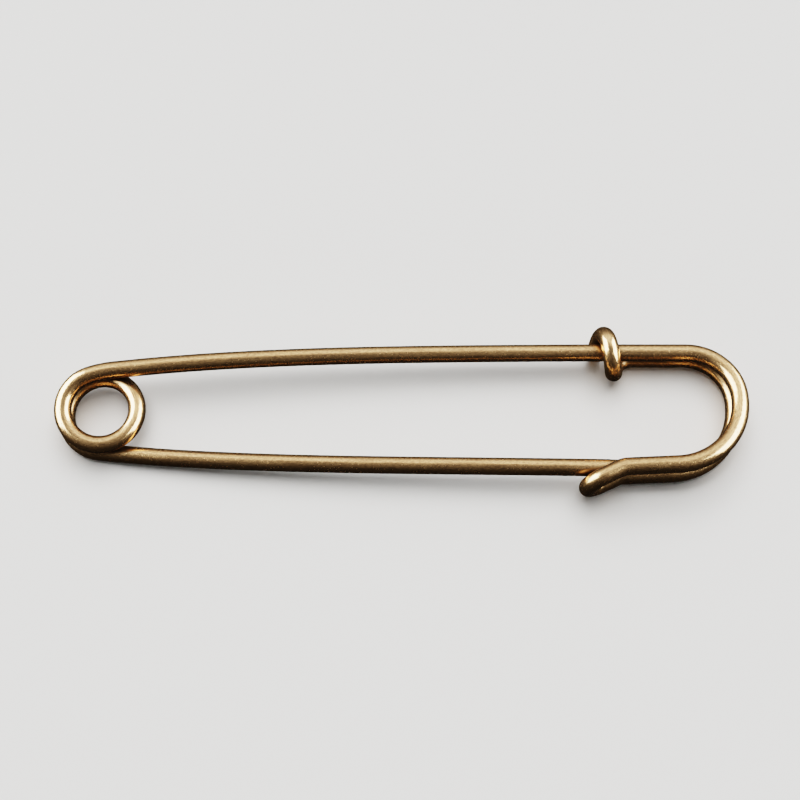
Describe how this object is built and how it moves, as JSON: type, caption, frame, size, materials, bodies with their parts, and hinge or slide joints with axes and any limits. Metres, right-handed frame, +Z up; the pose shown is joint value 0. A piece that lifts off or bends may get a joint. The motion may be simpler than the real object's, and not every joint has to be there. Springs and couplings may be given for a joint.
{
  "type": "kilt pin",
  "caption": "Large safety-pin brooch bent from one round brass wire: sprung coil, needle, turned-back catch, rounded bow and a collar wrapped round the spine.",
  "frame": {"origin": "middle of the pin's outline on the surface it lies on", "axes": "+X along the pin from the coil to the bow, +Y across it from the needle to the spine, +Z up from the surface"},
  "size_m": [0.08, 0.0202, 0.0064],
  "materials": {
    "frame_metal": "satin, drawn wire with fine lengthwise lines and light tarnish",
    "needle_metal": "satin, drawn wire with fine lengthwise lines, ground bright at the point"
  },
  "bodies": {
    "frame": {"frame_wire": "frame_metal"},
    "needle": {"needle": "needle_metal"}
  },
  "joints": [
    {"name": "needle_press", "type": "hinge", "parent": "frame", "child": "needle", "pos_m": [-0.03471, -0.00005, 0.001], "axis": [0, 0, 1], "range_deg": [0, 8], "stiffness_Nm_per_rad": 0.3, "springref_deg": -2.86}
  ]
}
